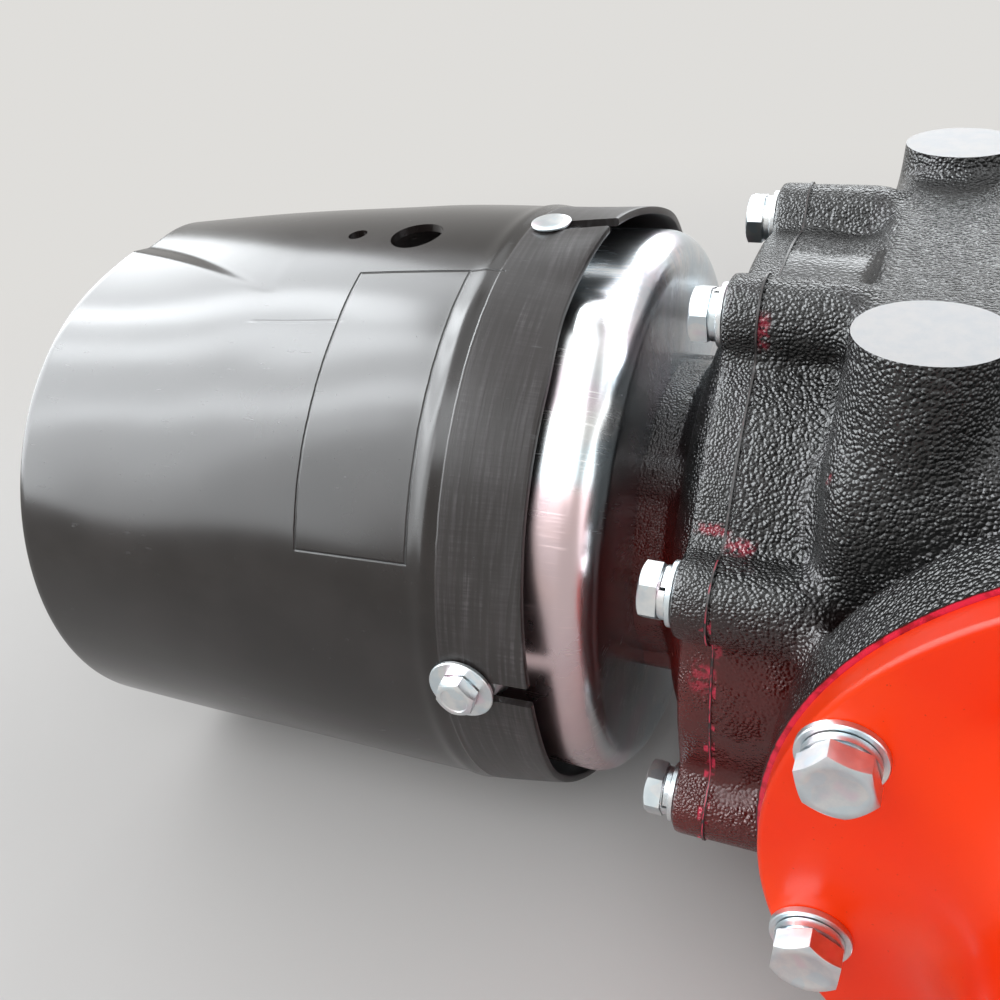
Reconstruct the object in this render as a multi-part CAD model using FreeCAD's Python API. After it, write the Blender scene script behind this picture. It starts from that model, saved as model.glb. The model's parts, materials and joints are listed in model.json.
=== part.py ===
import FreeCAD, Part
import math
import os

V = FreeCAD.Vector
os.makedirs("parts", exist_ok=True)

# Axes while building: the input shaft lies along Y and points forward, to -Y.
# The front cover meets the housing at y = 0, +X is the machine's left hand, +Z is up.
# Every solid is moved at export, so that the origin is the left socket's mouth.

# Cross shaft and side hubs
CROSS_Y = 135.0        # cross shaft behind the front joint
HALF_W = 146.0         # housing's side faces
FLANGE_R = 114.5       # housing's side flanges
FLANGE_T = 24.0
TRUNNION_R = 102.0     # round neck behind each side flange
HUB_R = 112.5          # painted hub's ring
HUB_T = 10.0
HUB_BOLT_R = 101.5
HUB_BOLTS = 8
HUB_BOLT_START = 24.5  # degrees from straight ahead
FLARE_R = 89.0         # where the ring starts to flare into the tube
TUBE_R = 57.0
SOCKET_R = 51.0        # takes the frame's cross tube
SOCKET_LEN = 40.0
HUB_LEN = 69.0         # from the housing's side face to the socket's mouth
HUB_EYE_R = 46.0
HUB_HOLE_R = 6.5
HUB_TAP_R = 5.3
FACING_SPARE = 2.5     # the flange is faced this much wider than the hub's ring

# Front and rear covers: round plates with eight ears
COVER_T = 11.0
COVER_EDGE_R = 1.5
GASKET_T = 0.8
GASKET_PROUD = 0.4     # the gasket stands out this much all round
EAR_R = 13.5
EAR_BLEND_R = 7.0      # hollow curve from an ear to the round edge
BOLT_CIRCLE_R = 118.0
COVER_INSIDE = 4.0     # the round edge lies this far inside the bolt circle
COVER_BOLTS = 8
COVER_BOLT_START = 22.5
COVER_HOLE_R = 5.5

# Housing: squarish middle with rounded corners, and a short round barrel at each end
BLOCK_INSET = 34.0     # from the side faces
BLOCK_HALF_H = 119.0
BLOCK_CORNER_R = 45.0
BLOCK_EDGE_R = 9.0
BLOCK_FRONT = 27.0
BARREL_INSIDE = 0.8    # the barrels lie this far inside the covers' round edge
RIM_T = 8.0
TAP_HOLE_R = 4.3
TAP_DEPTH = 24.0
GASKET_BORE_R = 60.0
RIDGE_LEN = 24.0       # cast ridges that run back from the ears, with ball ends
DOME_R = 92.0          # foot of the cover's cone
REAR_DISH = 15.0       # the rear cover's raised middle
NECK_R = 62.0
NECK_LUG_R = 9.0       # lugs under the cup's four screws
NECK_LUG_AT = 58.0
NECK_END = -41.7       # the cup sits here

# Top pads: x, y of the centre from the input axis and the front joint
PAD_X = 86.0
PAD_Y = 49.0
PAD_Z = 127.0
PAD_R = 20.0
STALK_FOOT_Z = 62.0
STALK_FOOT_R = 26.0

# Oil plugs: filler on the roof, drain below, level in the rear cover
FILL_R = 11.0
FILL_BEHIND = 40.0     # behind the cross shaft
DRAIN_R = 9.0
LEVEL_R = 9.0
LEVEL_Z = -30.0
PLUG_DEPTH = 10.0
PLUG_FLATS = 22.0
PLUG_HEAD_T = 8.0

# Shafts
STUB_MAJOR_R = 17.35   # six-spline stub, 34.7 mm over the splines
STUB_MINOR_R = 14.9
STUB_TOOTH_W = 8.64
STUB_TIP = -152.0
STUB_SHOULDER = -70.0
SEAL_LAND_R = 22.5
JOURNAL_R = 25.0
RUN_GAP = 0.05         # running clearance on the radius
SEAL_R = 36.0
SEAL_T = 10.0
CROSS_SEAL_R = 40.0
LOCK_GROOVE = (34.0, 41.0)   # from the stub's tip
LOCK_GROOVE_R = 14.75
INPUT_TAIL = 30.0
CROSS_MAJOR_R = 22.0
CROSS_MINOR_R = 19.0
CROSS_TOOTH_W = 10.5
CROSS_SPLINE_LEN = 21.5
CROSS_PROUD = 2.5      # the shoulder stands this far out of the housing's side face

# Pressed cup and the guard tube over it
CUP_R = 112.5
CUP_SHEET = 2.0
CUP_EDGE_R = 12.0
CUP_FRONT = -97.0
CUP_EYE_R = 38.0
GUARD_REAR = -61.5
GUARD_FRONT = -278.0
GUARD_REAR_OVER = 12.5 # the guard's outside is this much larger than the cup at the rear
GUARD_FRONT_OVER = 4.0
GUARD_WALL = 3.0
SLOT_W = 8.6
SLOT_END = -84.0
SEAT_R = 11.0          # pressed seats that carry the guard
SEAT_GAP = 0.3
SCREW_HOLE_R = 4.2
GUARD_REACH = 30.0     # cuts through the guard's wall start inside it and are this long
HOLE_TURN = 82.0       # degrees up from the left side
SMALL_HOLE_R = 3.75
SMALL_HOLE_Y = -159.0
LARGE_HOLE_R = 10.0
LARGE_HOLE_Y = -135.5
PANEL_Y = (-147.0, -104.5)
PANEL_TURN = (20.0, 71.0)
PANEL_DEPTH = 0.5

# Sizes that follow from those above
REAR_Y = 2.0 * CROSS_Y
MOUTH_X = HALF_W + HUB_LEN
CROSS_SHOULDER = HALF_W + CROSS_PROUD
CROSS_TIP = CROSS_SHOULDER + CROSS_SPLINE_LEN
BLOCK_HALF_W = HALF_W - BLOCK_INSET
COVER_R = BOLT_CIRCLE_R - COVER_INSIDE
BARREL_R = COVER_R - BARREL_INSIDE
GUARD_REAR_R = CUP_R + GUARD_REAR_OVER
GUARD_FRONT_R = CUP_R + GUARD_FRONT_OVER


def ring_y(r_out, r_in, y0, y1):
    """Ring or disc on the input axis between two stations."""
    solid = Part.makeCylinder(r_out, y1 - y0, V(0, y0, 0), V(0, 1, 0))
    if r_in > 0:
        solid = solid.cut(Part.makeCylinder(r_in, y1 - y0 + 2, V(0, y0 - 1, 0), V(0, 1, 0)))
    return solid


def rod_x(r, x0, x1):
    return Part.makeCylinder(r, x1 - x0, V(x0, CROSS_Y, 0), V(1, 0, 0))


def polar(r, turn, y):
    a = math.radians(turn)
    return V(r * math.cos(a), y, r * math.sin(a))


def turned(points, about):
    """Solid of revolution from (along, radius) pairs; a third point makes an arc."""
    edges = []
    last = None
    first = None
    for item in points:
        if len(item) == 2:
            here = place(item, about)
            if last is not None:
                edges.append(Part.makeLine(last, here))
        else:
            here = place(item[2:], about)
            edges.append(Part.Arc(last, place(item[:2], about), here).toShape())
        if first is None:
            first = here
        last = here
    if (last - first).Length > 1e-6:
        edges.append(Part.makeLine(last, first))
    face = Part.Face(Part.Wire(edges))
    if about == "y":
        return face.revolve(V(0, 0, 0), V(0, 1, 0), 360)
    return face.revolve(V(0, CROSS_Y, 0), V(1, 0, 0), 360)


def place(pair, about):
    if about == "y":
        return V(pair[1], pair[0], 0)
    return V(pair[0], CROSS_Y, pair[1])


def splined(major, minor, tooth, start, axis, length, teeth=6):
    """Straight-sided spline: the minor cylinder with its teeth cut to the major one."""
    core = Part.makeCylinder(minor, length)
    skin = Part.makeCylinder(major, length)
    for k in range(teeth):
        bar = Part.makeBox(major + 2, tooth, length, V(0, -tooth / 2.0, 0))
        bar.rotate(V(0, 0, 0), V(0, 0, 1), 360.0 * k / teeth)
        core = core.fuse(bar.common(skin))
    core = core.removeSplitter()
    turn = FreeCAD.Rotation(V(0, 0, 1), axis)
    core.Placement = FreeCAD.Placement(start, turn)
    return core


def eared_plate(y0, y1, proud=0.0):
    """Round plate with its ears; a hollow arc leads from the round edge to each ear."""
    rim = COVER_R + proud
    ear = EAR_R + proud
    blend = EAR_BLEND_R - proud
    # the blend's centre lies (rim + blend) from the axis and (ear + blend) from the ear's bolt
    lean = math.acos(((rim + blend) ** 2 + BOLT_CIRCLE_R ** 2 - (ear + blend) ** 2)
                     / (2 * BOLT_CIRCLE_R * (rim + blend)))
    lean = math.degrees(lean)
    pitch = 360.0 / COVER_BOLTS
    edges = []
    for k in range(COVER_BOLTS):
        turn = COVER_BOLT_START + pitch * k
        bolt = polar(BOLT_CIRCLE_R, turn, y0)
        hollows = [polar(rim + blend, turn + side * lean, y0) for side in (-1, 1)]
        on_rim = [polar(rim, turn + side * lean, y0) for side in (-1, 1)]
        on_ear = [bolt + (spot - bolt) * (ear / (ear + blend)) for spot in hollows]
        middles = []
        for spot, a, b in zip(hollows, on_rim, on_ear):
            inward = (a - spot) + (b - spot)
            middles.append(spot + inward * (blend / inward.Length))
        edges.append(Part.Arc(on_rim[0], middles[0], on_ear[0]).toShape())
        edges.append(Part.Arc(on_ear[0], polar(BOLT_CIRCLE_R + ear, turn, y0), on_ear[1]).toShape())
        edges.append(Part.Arc(on_ear[1], middles[1], on_rim[1]).toShape())
        ahead = polar(rim, turn + pitch - lean, y0)
        edges.append(Part.Arc(on_rim[1], polar(rim, turn + pitch / 2.0, y0), ahead).toShape())
    return Part.Face(Part.Wire(edges)).extrude(V(0, y1 - y0, 0))


def rounded_rim(plate, y):
    """Rounds the plate's outer edge on the face that shows."""
    shown = [e for e in plate.Edges if e.BoundBox.YLength < 0.01 and abs(e.BoundBox.YMin - y) < 0.01]
    return plate.makeFillet(COVER_EDGE_R, shown)


def cover_holes(r, y0, y1):
    pins = []
    for k in range(COVER_BOLTS):
        turn = COVER_BOLT_START + 360.0 * k / COVER_BOLTS
        pins.append(Part.makeCylinder(r, y1 - y0, polar(BOLT_CIRCLE_R, turn, y0), V(0, 1, 0)))
    return Part.makeCompound(pins)


def hub_holes(r, x0, x1):
    pins = []
    for k in range(HUB_BOLTS):
        a = math.radians(HUB_BOLT_START + 360.0 * k / HUB_BOLTS)
        spot = V(x0, CROSS_Y - HUB_BOLT_R * math.cos(a), HUB_BOLT_R * math.sin(a))
        pins.append(Part.makeCylinder(r, x1 - x0, spot, V(1, 0, 0)))
    return Part.makeCompound(pins)


def mirror_x(shape):
    return shape.mirror(V(0, 0, 0), V(1, 0, 0))


def make_block():
    length = REAR_Y - 2 * BLOCK_FRONT
    block = Part.makeBox(2 * BLOCK_HALF_W, length, 2 * BLOCK_HALF_H,
                         V(-BLOCK_HALF_W, BLOCK_FRONT, -BLOCK_HALF_H))
    along = [e for e in block.Edges if abs(e.tangentAt(e.FirstParameter).y) > 0.9]
    block = block.makeFillet(BLOCK_CORNER_R, along)
    ends = [e for e in block.Edges if e.BoundBox.YLength < 0.01]
    return block.makeFillet(BLOCK_EDGE_R, ends)


def ridge(start, axis):
    """Cast ridge behind an ear: a round bar whose far end is a half ball."""
    k = EAR_R * math.sqrt(0.5)
    edges = [Part.makeLine(V(0, 0, 0), V(EAR_R, 0, 0)), Part.makeLine(V(EAR_R, 0, 0), V(EAR_R, 0, RIDGE_LEN)),
             Part.Arc(V(EAR_R, 0, RIDGE_LEN), V(k, 0, RIDGE_LEN + k), V(0, 0, RIDGE_LEN + EAR_R)).toShape(),
             Part.makeLine(V(0, 0, RIDGE_LEN + EAR_R), V(0, 0, 0))]
    bar = Part.Face(Part.Wire(edges)).revolve(V(0, 0, 0), V(0, 0, 1), 360)
    bar.Placement = FreeCAD.Placement(start, FreeCAD.Rotation(V(0, 0, 1), axis))
    return bar


def side_flange():
    """Left side's neck and flange; the neck meets the flange's rim in a hollow curve."""
    root = HALF_W - FLANGE_T
    run = FLANGE_R - TRUNNION_R
    k = run * math.sqrt(0.5)
    return turned([(0, 0), (0, TRUNNION_R), (root - run, TRUNNION_R),
                   (root - run + k, FLANGE_R - k, root, FLANGE_R), (HALF_W, FLANGE_R), (HALF_W, 0)], "x")


# Housing: block, end barrels, side flanges, cast ridges and pad stalks
def make_housing():
    body = make_block()
    parts = [ring_y(BARREL_R, 0, 0, REAR_Y), eared_plate(0, RIM_T),
             eared_plate(REAR_Y - RIM_T, REAR_Y), side_flange(), mirror_x(side_flange())]
    for k in range(COVER_BOLTS):
        turn = COVER_BOLT_START + 360.0 * k / COVER_BOLTS
        parts.append(ridge(polar(BOLT_CIRCLE_R, turn, 0), V(0, 1, 0)))
        parts.append(ridge(polar(BOLT_CIRCLE_R, turn, REAR_Y), V(0, -1, 0)))
    for sx in (-1, 1):
        for y in (PAD_Y, REAR_Y - PAD_Y):
            parts.append(Part.makeCone(STALK_FOOT_R, PAD_R, PAD_Z - STALK_FOOT_Z,
                                       V(sx * PAD_X, y, STALK_FOOT_Z), V(0, 0, 1)))
    for piece in parts:
        body = body.fuse(piece)
    body = body.cut(rod_x(JOURNAL_R + RUN_GAP, -HALF_W - 1, HALF_W + 1))
    for sx in (-1, 1):
        ends = sorted((sx * HALF_W, sx * (HALF_W - SEAL_T)))
        body = body.cut(rod_x(CROSS_SEAL_R, ends[0], ends[1]))
    body = body.cut(ring_y(JOURNAL_R + RUN_GAP, 0, -1, INPUT_TAIL + 1))
    body = body.cut(cover_holes(TAP_HOLE_R, -1, TAP_DEPTH))
    body = body.cut(cover_holes(TAP_HOLE_R, REAR_Y - TAP_DEPTH, REAR_Y + 1))
    body = body.cut(hub_holes(HUB_TAP_R, HALF_W - TAP_DEPTH, HALF_W + 1))
    body = body.cut(hub_holes(HUB_TAP_R, -HALF_W - 1, -HALF_W + TAP_DEPTH))
    # the side faces are faced flat for the hubs, so nothing stands in their way
    facing = rod_x(HUB_R + FACING_SPARE, HALF_W, MOUTH_X)
    body = body.cut(facing).cut(mirror_x(facing))
    for start, axis, r in (filler_seat(), drain_seat()):
        body = body.cut(Part.makeCylinder(r, PLUG_DEPTH + 4, start - axis * PLUG_DEPTH, axis))
    return body


# Front cover: eared plate, cone and neck in one casting
def make_front_cover():
    back = -GASKET_T
    face = back - COVER_T
    plate = rounded_rim(eared_plate(face, back), face)
    neck = turned([(face, 0), (face, DOME_R), (face - 9, DOME_R - 8, face - 12, NECK_R + 8),
                    (NECK_END + 9, NECK_R - 4), (NECK_END + 9, NECK_R), (NECK_END, NECK_R), (NECK_END, 0)], "y")
    lugs = []
    for turn in (45, 135, 225, 315):
        foot = polar(NECK_LUG_AT, turn, NECK_END)
        lugs.append(Part.makeCylinder(NECK_LUG_R, face - NECK_END, foot, V(0, 1, 0)))
    cover = plate.multiFuse([neck] + lugs).removeSplitter()
    cover = cover.cut(ring_y(SEAL_R, 0, NECK_END - 1, NECK_END + SEAL_T))
    cover = cover.cut(ring_y(JOURNAL_R + RUN_GAP, 0, NECK_END, 1))
    return cover.cut(cover_holes(COVER_HOLE_R, face - 1, back + 1))


def make_gasket(y0, y1):
    sheet = eared_plate(y0, y1, GASKET_PROUD)
    sheet = sheet.cut(cover_holes(COVER_HOLE_R, y0 - 1, y1 + 1))
    return sheet.cut(ring_y(GASKET_BORE_R, 0, y0 - 1, y1 + 1))


def make_rear_cover():
    face = REAR_Y + GASKET_T
    out = face + COVER_T
    plate = rounded_rim(eared_plate(face, out), out)
    bulge = turned([(out, 0), (out, DOME_R - 8), (out + REAR_DISH, DOME_R - 16), (out + REAR_DISH, 0)], "y")
    cover = plate.fuse(bulge).removeSplitter()
    start, axis, r = level_seat()
    cover = cover.cut(Part.makeCylinder(r, PLUG_DEPTH + 4, start - axis * PLUG_DEPTH, axis))
    return cover.cut(cover_holes(COVER_HOLE_R, face - 1, face + COVER_T + 1))


# Painted hub: ring, flare and socket turned in one
def make_left_hub():
    x0 = HALF_W
    x1 = HALF_W + HUB_T
    run = FLARE_R - TUBE_R
    k = 1 - math.sqrt(0.5)
    hub = turned([(x0, HUB_EYE_R), (x0, HUB_R), (x1 - 1.5, HUB_R),
                  (x1 - 0.44, HUB_R - 0.44, x1, HUB_R - 1.5), (x1, FLARE_R),
                  (x1 + run * k, TUBE_R + run * k, x1 + run, TUBE_R), (MOUTH_X, TUBE_R),
                  (MOUTH_X, SOCKET_R), (MOUTH_X - SOCKET_LEN, SOCKET_R),
                  (MOUTH_X - SOCKET_LEN, HUB_EYE_R)], "x")
    return hub.cut(hub_holes(HUB_HOLE_R, x0 - 1, x1 + 1))


def make_cup():
    back = NECK_END
    r = CUP_EDGE_R
    k = 1 - math.sqrt(0.5)
    s = CUP_SHEET
    ri = r - s
    cup = turned([(back, CUP_EYE_R), (back, CUP_R - r), (back - r * k, CUP_R - r * k, back - r, CUP_R),
                  (CUP_FRONT, CUP_R), (CUP_FRONT, CUP_R - s), (back - r, CUP_R - s),
                  (back - s - ri * k, CUP_R - s - ri * k, back - s, CUP_R - r), (back - s, CUP_EYE_R)], "y")
    seats = []
    for turn in (0, 90, 180, 270):
        d = polar(1, turn, 0)
        seat = Part.makeCylinder(SEAT_R, GUARD_REACH, d * (CUP_R - s / 2.0) + V(0, SLOT_END, 0), d)
        hole = Part.makeCylinder(SCREW_HOLE_R, GUARD_REACH, d * (CUP_R - 8.0) + V(0, SLOT_END, 0), d)
        seats.append((seat.common(guard_solid(-GUARD_WALL - SEAT_GAP)), hole))
    cup = cup.multiFuse([s[0] for s in seats]).removeSplitter()
    for seat, hole in seats:
        cup = cup.cut(hole)
    return cup


def guard_solid(grow):
    length = GUARD_REAR - GUARD_FRONT
    return Part.makeCone(GUARD_FRONT_R + grow, GUARD_REAR_R + grow, length, V(0, GUARD_FRONT, 0), V(0, 1, 0))


# Guard tube: slightly tapered, two slotted fixings seen and two hidden, a blank recessed panel
def make_guard():
    tube = guard_solid(0).cut(guard_solid(-GUARD_WALL))
    for turn in (0, 90, 180, 270):
        slot = Part.makeBox(GUARD_REACH, GUARD_REAR - SLOT_END + 2, SLOT_W,
                            V(CUP_R - 6, SLOT_END, -SLOT_W / 2.0))
        end = Part.makeCylinder(SLOT_W / 2.0, GUARD_REACH, V(CUP_R - 6, SLOT_END, 0), V(1, 0, 0))
        cut = slot.fuse(end)
        cut.rotate(V(0, 0, 0), V(0, 1, 0), -turn)
        tube = tube.cut(cut)
    for r, y in ((SMALL_HOLE_R, SMALL_HOLE_Y), (LARGE_HOLE_R, LARGE_HOLE_Y)):
        d = polar(1, HOLE_TURN, 0)
        tube = tube.cut(Part.makeCylinder(r, GUARD_REACH, d * (CUP_R - 6) + V(0, y, 0), d))
    skin = guard_solid(1).cut(guard_solid(-PANEL_DEPTH))
    wedge = Part.makeCylinder(200, PANEL_Y[1] - PANEL_Y[0], V(0, PANEL_Y[0], 0), V(0, 1, 0),
                              PANEL_TURN[1] - PANEL_TURN[0])
    mid = wedge.CenterOfMass
    now = math.degrees(math.atan2(mid.z, mid.x))
    wedge.rotate(V(0, 0, 0), V(0, 1, 0), now - (PANEL_TURN[0] + PANEL_TURN[1]) / 2.0)
    return tube.cut(skin.common(wedge))


def make_input_shaft():
    length = STUB_SHOULDER - STUB_TIP
    stub = splined(STUB_MAJOR_R, STUB_MINOR_R, STUB_TOOTH_W, V(0, STUB_SHOULDER, 0), V(0, -1, 0), length)
    ring = ring_y(STUB_MAJOR_R + 2, LOCK_GROOVE_R, STUB_TIP + LOCK_GROOVE[0], STUB_TIP + LOCK_GROOVE[1])
    stub = stub.cut(ring)
    land = turned([(STUB_SHOULDER, 0), (STUB_SHOULDER, SEAL_LAND_R - 2), (STUB_SHOULDER + 2, SEAL_LAND_R),
                   (NECK_END + SEAL_T, SEAL_LAND_R), (NECK_END + SEAL_T, JOURNAL_R),
                   (INPUT_TAIL, JOURNAL_R), (INPUT_TAIL, 0)], "y")
    return stub.fuse(land).removeSplitter()


def make_output_shaft():
    shaft = rod_x(JOURNAL_R, -CROSS_SHOULDER, CROSS_SHOULDER)
    for sx in (-1, 1):
        end = splined(CROSS_MAJOR_R, CROSS_MINOR_R, CROSS_TOOTH_W, V(sx * CROSS_SHOULDER, CROSS_Y, 0),
                      V(sx, 0, 0), CROSS_TIP - CROSS_SHOULDER)
        shaft = shaft.fuse(end)
    return shaft.removeSplitter()


def make_input_seal():
    return ring_y(SEAL_R, SEAL_LAND_R + RUN_GAP, NECK_END, NECK_END + SEAL_T - 0.5)


def make_left_output_seal():
    seal = rod_x(CROSS_SEAL_R, HALF_W - SEAL_T, HALF_W)
    return seal.cut(rod_x(JOURNAL_R + RUN_GAP, HALF_W - SEAL_T - 1, HALF_W + 1))


def hex_prism(flats, height, start, axis):
    corner = flats / math.sqrt(3)
    pts = []
    for k in range(7):
        a = math.radians(60 * k)
        pts.append(V(corner * math.cos(a), corner * math.sin(a), 0))
    prism = Part.Face(Part.makePolygon(pts)).extrude(V(0, 0, height))
    prism.Placement = FreeCAD.Placement(start, FreeCAD.Rotation(V(0, 0, 1), axis))
    return prism


def make_plug(seat):
    """Hex-headed oil plug in its seat: start is the head's underside."""
    start, axis, r = seat
    plug = Part.makeCylinder(r, PLUG_DEPTH, start - axis * PLUG_DEPTH, axis)
    flange = Part.makeCylinder(r + 4, 2.5, start, axis)
    head = hex_prism(PLUG_FLATS, PLUG_HEAD_T, start + axis * 2.5, axis)
    return plug.multiFuse([flange, head]).removeSplitter()


def filler_seat():
    return V(0, CROSS_Y + FILL_BEHIND, BLOCK_HALF_H), V(0, 0, 1), FILL_R


def drain_seat():
    return V(0, CROSS_Y, -BLOCK_HALF_H), V(0, 0, -1), DRAIN_R


def level_seat():
    return V(0, REAR_Y + GASKET_T + COVER_T + REAR_DISH, LEVEL_Z), V(0, 1, 0), LEVEL_R


left_hub = make_left_hub()
left_seal = make_left_output_seal()
nodes = {
    "housing": make_housing(),
    "front_cover": make_front_cover(),
    "front_gasket": make_gasket(-GASKET_T, 0),
    "rear_cover": make_rear_cover(),
    "rear_gasket": make_gasket(REAR_Y, REAR_Y + GASKET_T),
    "left_hub": left_hub,
    "right_hub": mirror_x(left_hub),
    "guard_cup": make_cup(),
    "guard_tube": make_guard(),
    "input_shaft": make_input_shaft(),
    "input_seal": make_input_seal(),
    "output_shaft": make_output_shaft(),
    "left_output_seal": left_seal,
    "right_output_seal": mirror_x(left_seal),
    "filler_plug": make_plug(filler_seat()),
    "level_plug": make_plug(level_seat()),
    "drain_plug": make_plug(drain_seat()),
}
origin_shift = V(-MOUTH_X, -CROSS_Y, 0)
for name, shape in nodes.items():
    solids = shape.Solids
    out = solids[0] if len(solids) == 1 else Part.makeCompound(solids)
    out = out.copy()
    out.translate(origin_shift)
    out.exportStep("parts/" + name + ".step")
    box = out.BoundBox
    print(name, len(solids), out.isValid(), round(out.Volume / 1000.0, 1), "cm3",
          [round(v, 1) for v in (box.XMin, box.XMax, box.YMin, box.YMax, box.ZMin, box.ZMax)])
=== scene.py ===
# %% [markdown]
# A rotavator's gearbox takes the drive from a splined stub at its front and turns it through a
# right angle to a cross shaft. A plastic guard on a zinc plated cup shields the stub, and two
# painted hubs on the sides join the gearbox to the machine's frame. This lesson loads the
# construction model, which holds the real sizes, leaves it where it is, and gives each piece
# the surface, edges, fastenings and marks that the real one shows.

# %% Load the construction model
import json
import math
from contextlib import contextmanager

import bmesh
import bpy
import numpy as np
from mathutils import Matrix, Vector


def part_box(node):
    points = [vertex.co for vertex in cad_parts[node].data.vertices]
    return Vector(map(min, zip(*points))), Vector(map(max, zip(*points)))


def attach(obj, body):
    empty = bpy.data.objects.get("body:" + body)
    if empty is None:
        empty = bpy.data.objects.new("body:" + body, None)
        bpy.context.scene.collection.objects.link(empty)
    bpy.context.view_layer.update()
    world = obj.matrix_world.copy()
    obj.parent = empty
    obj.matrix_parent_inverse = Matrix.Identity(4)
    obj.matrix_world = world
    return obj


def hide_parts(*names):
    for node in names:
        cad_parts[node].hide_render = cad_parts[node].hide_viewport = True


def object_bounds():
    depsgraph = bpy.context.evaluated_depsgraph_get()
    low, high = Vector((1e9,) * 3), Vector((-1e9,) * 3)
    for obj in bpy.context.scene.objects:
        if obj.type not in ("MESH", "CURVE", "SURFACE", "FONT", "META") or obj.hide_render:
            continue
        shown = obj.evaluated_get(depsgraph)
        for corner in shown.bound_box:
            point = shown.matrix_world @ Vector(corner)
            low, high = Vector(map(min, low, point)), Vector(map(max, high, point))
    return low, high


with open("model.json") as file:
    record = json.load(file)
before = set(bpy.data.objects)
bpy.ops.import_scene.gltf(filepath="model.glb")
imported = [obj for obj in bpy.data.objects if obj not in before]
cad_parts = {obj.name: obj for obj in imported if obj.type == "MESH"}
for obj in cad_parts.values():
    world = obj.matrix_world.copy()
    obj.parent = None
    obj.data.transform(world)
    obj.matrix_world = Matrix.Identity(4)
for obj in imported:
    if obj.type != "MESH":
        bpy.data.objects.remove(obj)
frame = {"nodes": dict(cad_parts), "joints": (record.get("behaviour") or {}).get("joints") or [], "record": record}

cad_low, cad_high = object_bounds()
nodes = frame["nodes"]
print("nodes", len(nodes), "box", [round(v, 4) for v in (*cad_low, *cad_high)])

# %% [markdown]
# The gearbox is set out from two axes: the input shaft, which points forward, and the cross
# shaft. A small function turns millimetres from the input axis and from the front joint into
# the model's metres, so that the numbers below read like a drawing. The joint's plane and the
# axes are read from the model, and aren't typed in again.

# %% Axes and units
MM = 0.001
JOINT_POINTS = {j["name"]: Vector(j["pos_m"]) for j in frame["joints"]}
INPUT_X = JOINT_POINTS["input_spin"].x
CROSS_Y = JOINT_POINTS["output_spin"].y
FRONT_JOINT_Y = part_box("front_gasket")[1].y
REAR_JOINT_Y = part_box("rear_gasket")[0].y
AXIS_POINT = Vector((INPUT_X, FRONT_JOINT_Y, 0.0))
CROSS_BACK = (CROSS_Y - FRONT_JOINT_Y) / MM  # the cross shaft, in mm behind the front joint


def at(x, y, z):
    """A point given in millimetres from the input axis and the front joint."""
    return AXIS_POINT + Vector((x, y, z)) * MM


def new_piece(name, data):
    """A new object at the origin, in the scene."""
    piece = bpy.data.objects.new(name, data)
    bpy.context.scene.collection.objects.link(piece)
    return piece


print("input axis x", round(INPUT_X, 4), "front joint y", round(FRONT_JOINT_Y, 4))

# %% [markdown]
# The camera comes first, set up to see the gearbox as the photograph does. Every later choice
# is compared with the photograph through the camera, so it comes first. It was worked out from
# points whose real places are known, such as bolt centres on their circle. It is set up by its
# place and by three directions: its right, its up, and its back.

# %% Camera
CAMERA_AT = (348.8, 50.5, 247.8)
CAMERA_RIGHT = Vector((-0.38161, 0.91890, -0.09998))
CAMERA_UP = Vector((-0.54412, -0.13588, 0.82793))
CAMERA_BACK = Vector((0.74720, 0.37035, 0.55184))
CAMERA_LENS = 36.95

camera_data = bpy.data.cameras.new("photo_camera")
camera_data.lens = CAMERA_LENS
camera_data.sensor_width = 36.0
camera_data.clip_start = 0.02
camera_data.clip_end = 50.0
camera = new_piece("photo_camera", camera_data)
turn = Matrix((CAMERA_RIGHT, CAMERA_UP, CAMERA_BACK)).transposed().to_4x4()
camera.matrix_world = Matrix.Translation(at(*CAMERA_AT)) @ turn
bpy.context.scene.camera = camera
print("camera at", [round(v, 4) for v in camera.location])

# %% [markdown]
# Both kinds of node tree, for shading and for shapes, are written as plain sums here. A wire
# stands for one socket, and adding or multiplying wires adds the nodes that do it. Any other
# node comes from one method that takes its type, its settings and its sockets' values.

# %% Wires and graphs
class Wire:
    """One output socket of a node. Sums of wires add Math nodes to the wire's graph."""

    def __init__(self, graph, socket):
        self.graph = graph
        self.socket = socket

    def math(self, operation, *values):
        return self.graph.node("ShaderNodeMath", {"operation": operation}, [self, *values])

    def __add__(self, other):
        return self.math("ADD", other)

    def __mul__(self, other):
        return self.math("MULTIPLY", other)

    def __sub__(self, other):
        return self.math("SUBTRACT", other)

    def __truediv__(self, other):
        return self.math("DIVIDE", other)

    def __rsub__(self, other):
        return self.graph.node("ShaderNodeMath", {"operation": "SUBTRACT"}, [other, self])

    def __pow__(self, other):
        return self.math("POWER", other)

    __radd__ = __add__
    __rmul__ = __mul__

    def over(self, low, high):
        """0 where the wire is under low, 1 where it is over high, smooth between."""
        values = {"Value": self, "From Min": low, "From Max": high}
        return self.graph.node("ShaderNodeMapRange", {"interpolation_type": "SMOOTHSTEP"}, values)

    def inside(self, low, high, soft):
        """1 between low and high, with soft edges."""
        return self.over(low - soft, low) * (1 - self.over(high, high + soft))

    def near(self, middle, reach):
        """1 at middle, 0 from reach away."""
        return 1 - (self - middle).math("ABSOLUTE").over(0.0, reach)


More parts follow.
